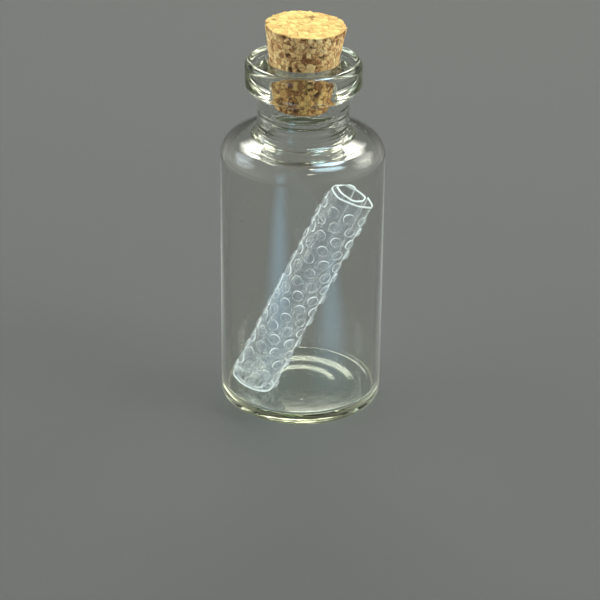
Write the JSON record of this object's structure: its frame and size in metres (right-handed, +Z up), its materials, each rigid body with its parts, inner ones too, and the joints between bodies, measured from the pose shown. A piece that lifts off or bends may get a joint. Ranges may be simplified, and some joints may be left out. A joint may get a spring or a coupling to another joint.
{
  "type": "corked glass vial",
  "caption": "Small clear glass vial with a rounded shoulder and rolled lip, a tapered cork that pulls out, and a leaning roll of clear blister film inside.",
  "frame": {"origin": "centre of the vial's base, on the plane it stands on", "axes": "+Z up along the vial, +X to the right, -Y to the front"},
  "size_m": [0.022, 0.022, 0.0539],
  "materials": {
    "clear_glass": "fire-polished clear",
    "cork": "matte pressed granules",
    "clear_film": "clear glossy film"
  },
  "bodies": {
    "vial": {"vial": "clear_glass"},
    "cork": {"cork": "cork"},
    "film_roll": {"film_roll": "clear_film"}
  },
  "joints": [
    {"name": "cork_pull", "type": "slide", "parent": "vial", "child": "cork", "axis": [0, 0, 1], "range_m": [0, 0.012]},
    {"name": "roll_swing", "type": "hinge", "parent": "vial", "child": "film_roll", "pos_m": [0, 0, 0], "axis": [0, 0, 1], "continuous": true}
  ]
}
